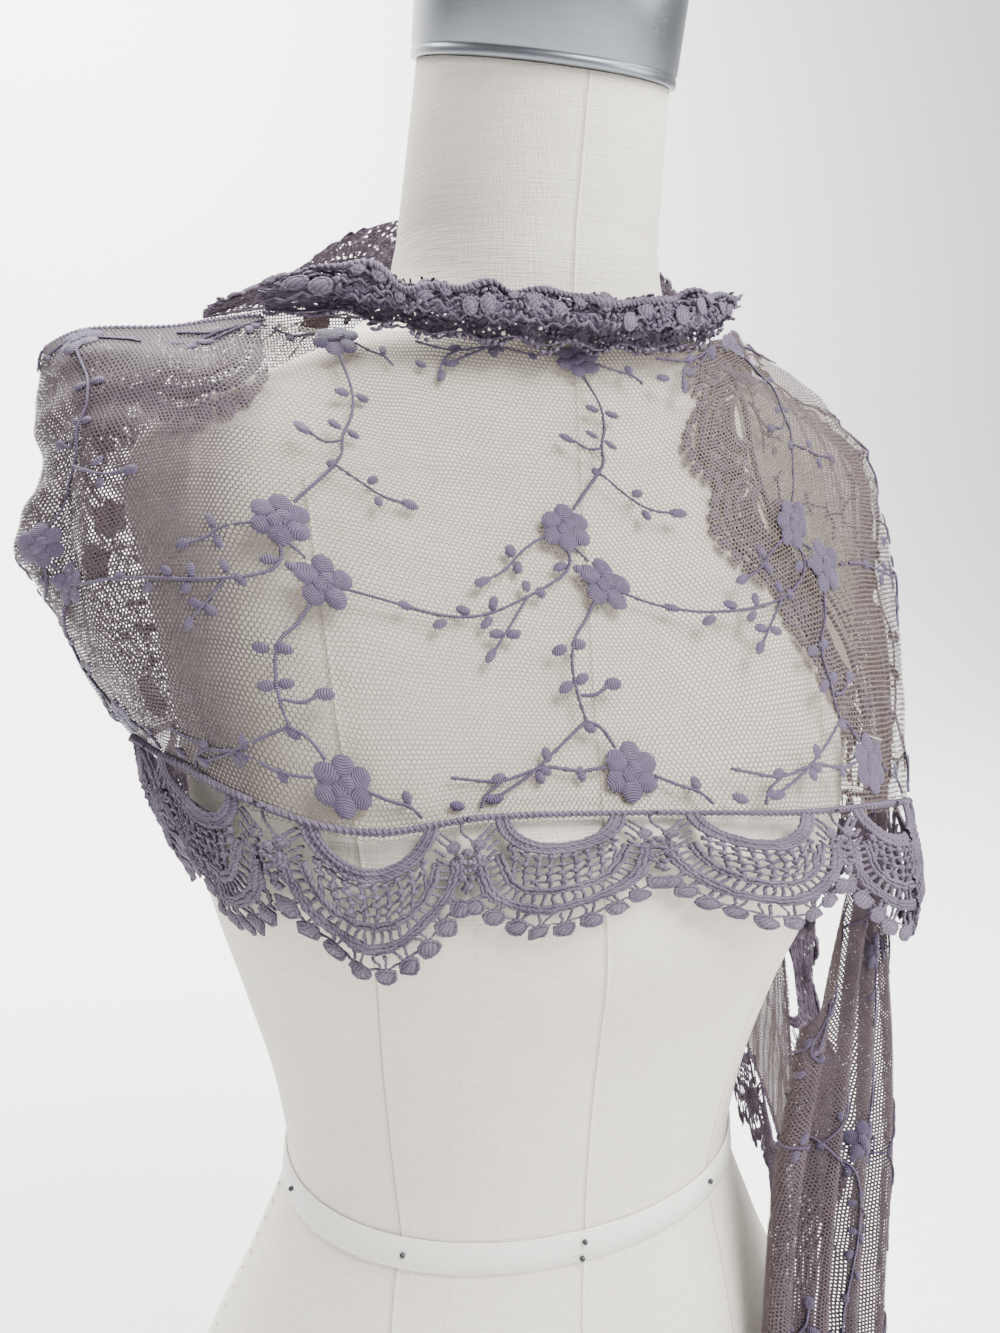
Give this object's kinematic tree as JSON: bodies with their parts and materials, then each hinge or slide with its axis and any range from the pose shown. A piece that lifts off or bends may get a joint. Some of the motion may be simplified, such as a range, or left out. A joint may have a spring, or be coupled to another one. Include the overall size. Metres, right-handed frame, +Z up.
{
  "type": "lace shawl on dress form",
  "caption": "Embroidered net shawl with scalloped crochet edging, wrapped round a limbless linen dress form with a steel neck cap; one end hangs in front as a tail.",
  "frame": {"origin": "middle of the form's flat underside", "axes": "+Z up through the neck, the form faces -Y, +X is the form's own left"},
  "size_m": [0.4215, 0.2763, 0.8522],
  "materials": {
    "ivory_linen": "plain woven linen over padding",
    "brushed_steel_cap": "fine horizontal brushing",
    "white_twill_tape": "twill tape",
    "mauve_net": "fine hexagonal net with satin-stitch flowers",
    "lavender_crochet": "matt crocheted cotton"
  },
  "bodies": {
    "root": {"dress_form_body": "ivory_linen", "neck_cap": "brushed_steel_cap", "waist_tape": "white_twill_tape", "front_net": "mauve_net", "right_shoulder_net": "mauve_net", "back_net": "mauve_net", "left_shoulder_net": "mauve_net", "left_under_net": "mauve_net", "tail_net": "mauve_net", "hem_lace_front": "lavender_crochet", "hem_lace_right": "lavender_crochet", "hem_lace_back": "lavender_crochet", "hem_lace_left": "lavender_crochet", "neck_lace_front": "lavender_crochet", "neck_lace_back": "lavender_crochet", "right_turned_lace": "lavender_crochet", "left_under_lace": "lavender_crochet", "neck_lace_left": "lavender_crochet", "tail_lace": "lavender_crochet", "tail_end_lace": "lavender_crochet", "end_lace": "lavender_crochet"}
  },
  "joints": []
}
